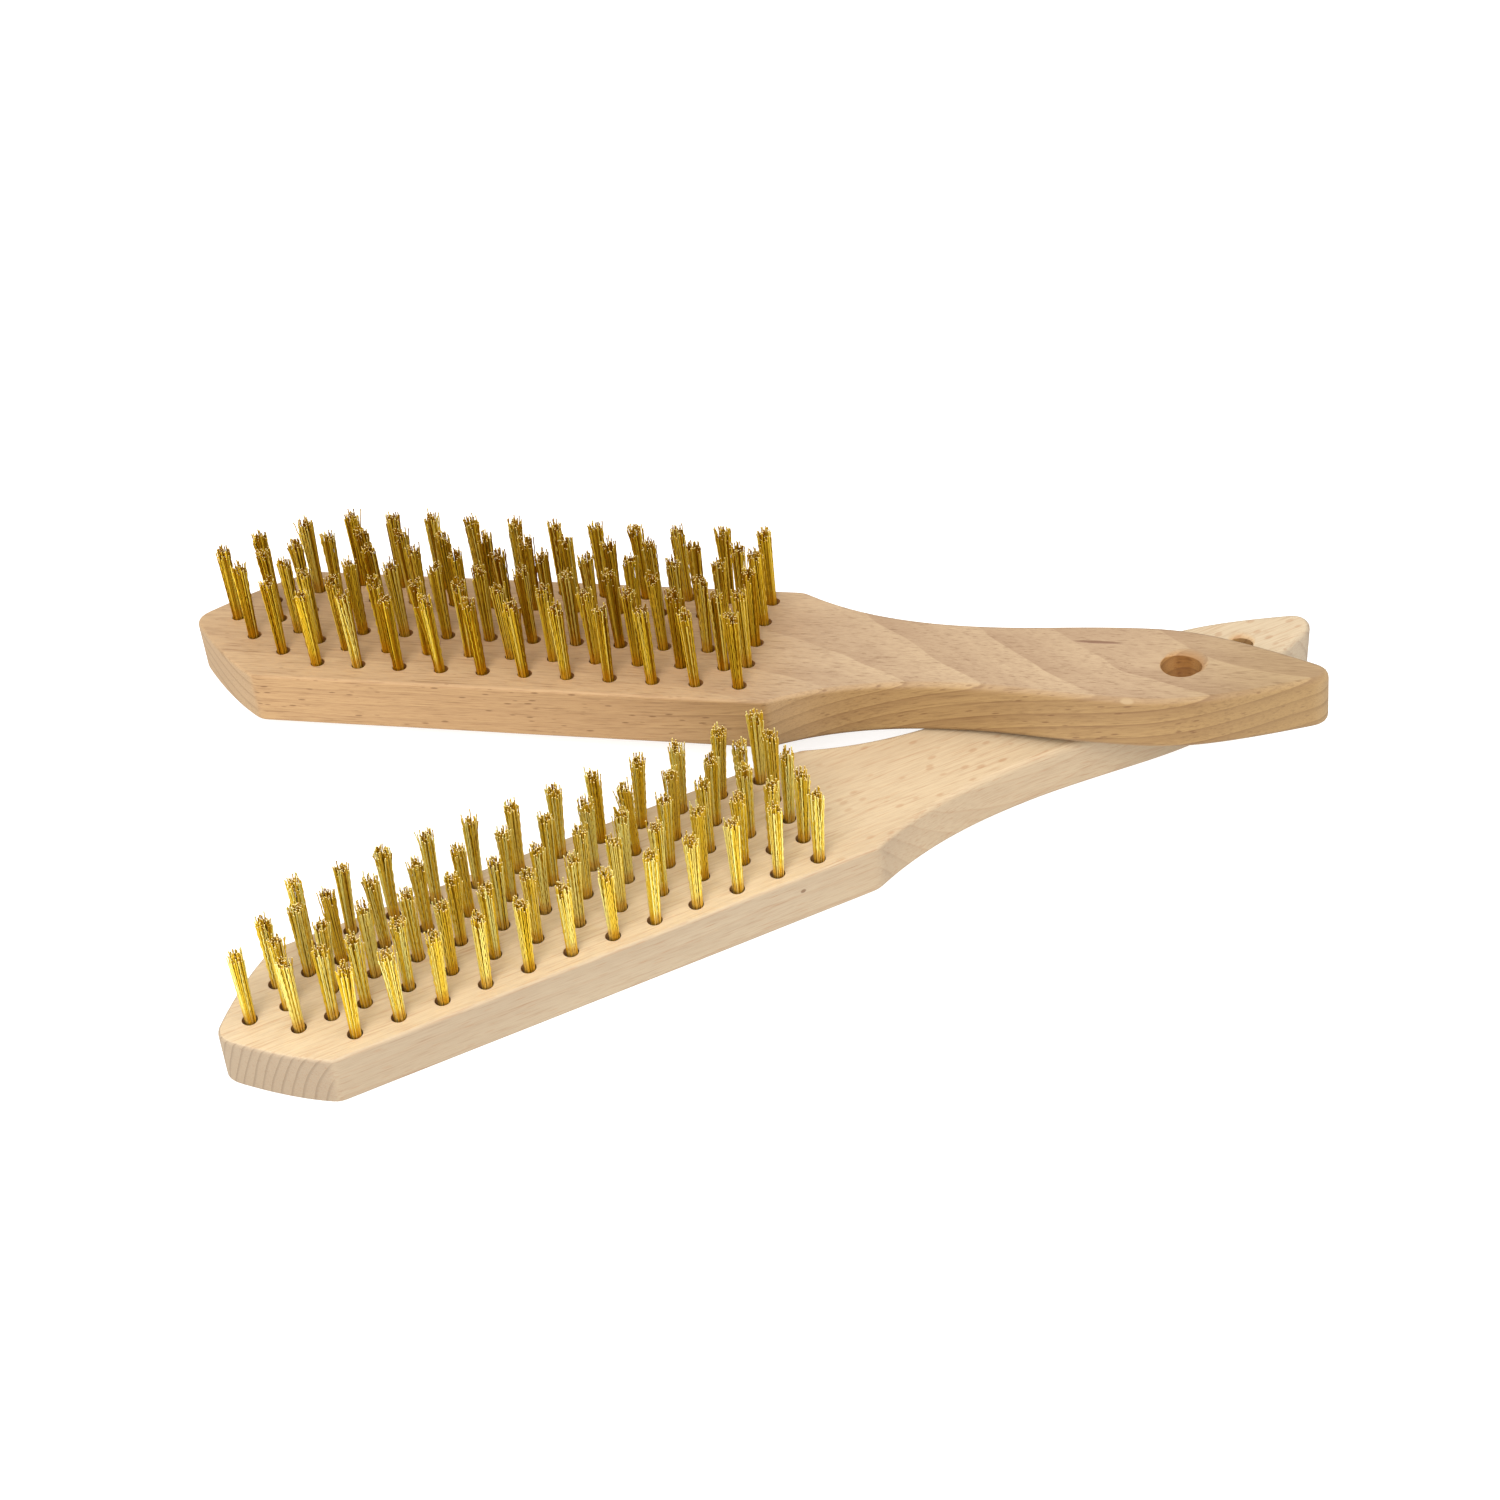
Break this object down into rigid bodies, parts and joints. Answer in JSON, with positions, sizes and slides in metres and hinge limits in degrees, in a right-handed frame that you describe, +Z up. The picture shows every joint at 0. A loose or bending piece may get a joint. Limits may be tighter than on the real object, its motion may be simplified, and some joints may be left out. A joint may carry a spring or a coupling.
{
  "type": "pair of wire hand brushes",
  "caption": "Two wooden hand brushes with brass wire tufts, lying bristles up with their handles crossed; each has a hanging hole in its handle.",
  "frame": {"origin": "centre of the base of the pair's bounding box, on the surface that the pair lies on", "axes": "+X from the noses towards the handles' ends, +Y from the lower brush's head towards the upper brush's head, +Z up"},
  "size_m": [0.2834, 0.1768, 0.0466],
  "materials": {
    "lower_beech": "bare planed pale beech",
    "upper_beech": "bare planed darker beech",
    "brass_wire": "crimped wire with cut ends",
    "staple_wire": "drawn steel wire"
  },
  "bodies": {
    "lower_brush": {"lower_block": "lower_beech", "lower_tufts_row_1": "brass_wire", "lower_tufts_row_2": "brass_wire", "lower_tufts_row_3": "brass_wire", "lower_tufts_row_4": "brass_wire", "lower_tufts_row_5": "brass_wire", "lower_staples_row_1": "staple_wire", "lower_staples_row_2": "staple_wire", "lower_staples_row_3": "staple_wire", "lower_staples_row_4": "staple_wire", "lower_staples_row_5": "staple_wire"},
    "upper_brush": {"upper_block": "upper_beech", "upper_tufts_row_1": "brass_wire", "upper_tufts_row_2": "brass_wire", "upper_tufts_row_3": "brass_wire", "upper_tufts_row_4": "brass_wire", "upper_tufts_row_5": "brass_wire", "upper_tufts_row_6": "brass_wire", "upper_tufts_center": "brass_wire", "upper_staples_row_1": "staple_wire", "upper_staples_row_2": "staple_wire", "upper_staples_row_3": "staple_wire", "upper_staples_row_4": "staple_wire", "upper_staples_row_5": "staple_wire", "upper_staples_row_6": "staple_wire", "upper_staples_center": "staple_wire"}
  },
  "joints": [
    {"name": "upper_brush_lift", "type": "slide", "parent": "lower_brush", "child": "upper_brush", "axis": [0, 0, 1], "range_m": [0, 0.1]}
  ]
}
